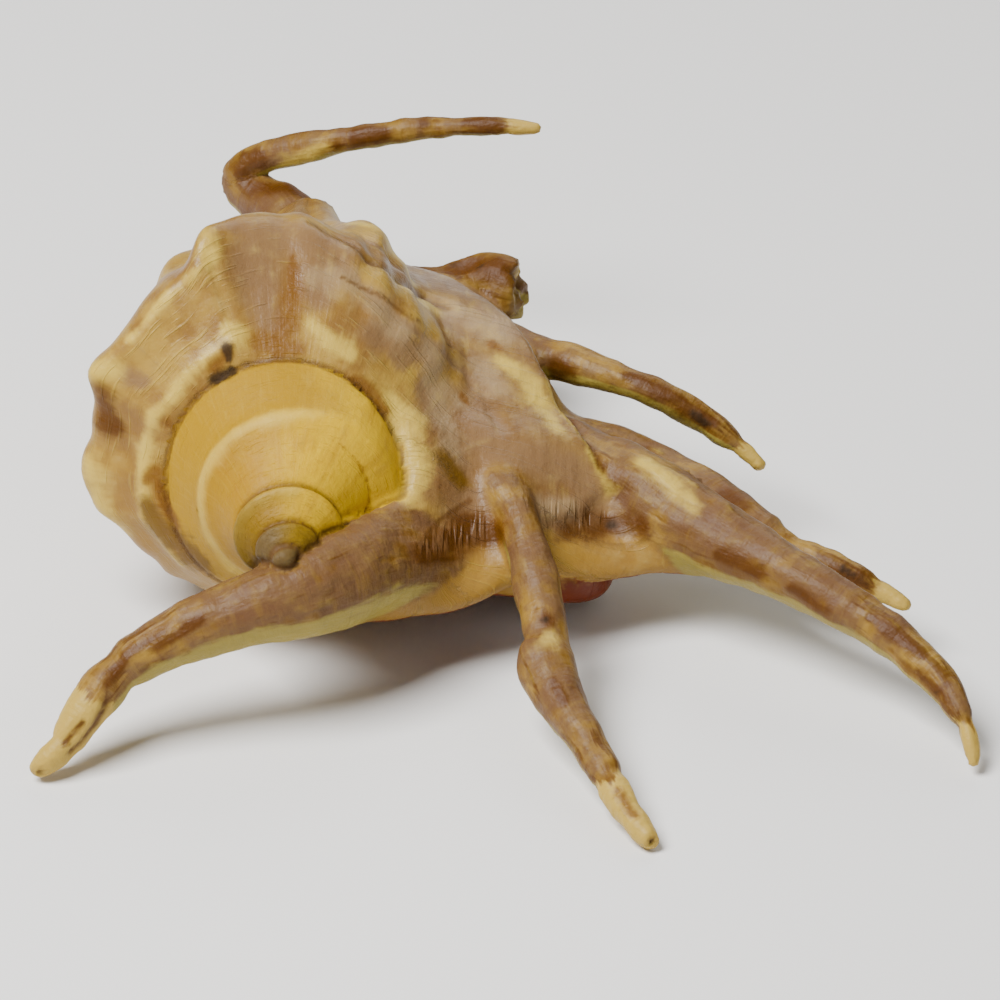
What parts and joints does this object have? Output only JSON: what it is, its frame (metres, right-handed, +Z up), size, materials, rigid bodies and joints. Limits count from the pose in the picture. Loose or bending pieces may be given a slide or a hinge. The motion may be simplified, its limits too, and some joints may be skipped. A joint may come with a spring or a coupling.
{
  "type": "orange spider conch shell",
  "caption": "Spider conch sea shell with a low coiled spire, a humped back and a flared lip drawn out into long curved fingers, resting on their tips.",
  "frame": {"origin": "middle of the footprint, on the surface the shell rests on", "axes": "+Y along the coiling axis from the spire to the canal, +X towards the flared lip, +Z up through the back"},
  "size_m": [0.0956, 0.1132, 0.0413],
  "materials": {
    "shell": "satin natural shell, amber spire, tan and mauve back, brown streaks"
  },
  "bodies": {
    "root": {"shell": "shell"}
  },
  "joints": []
}
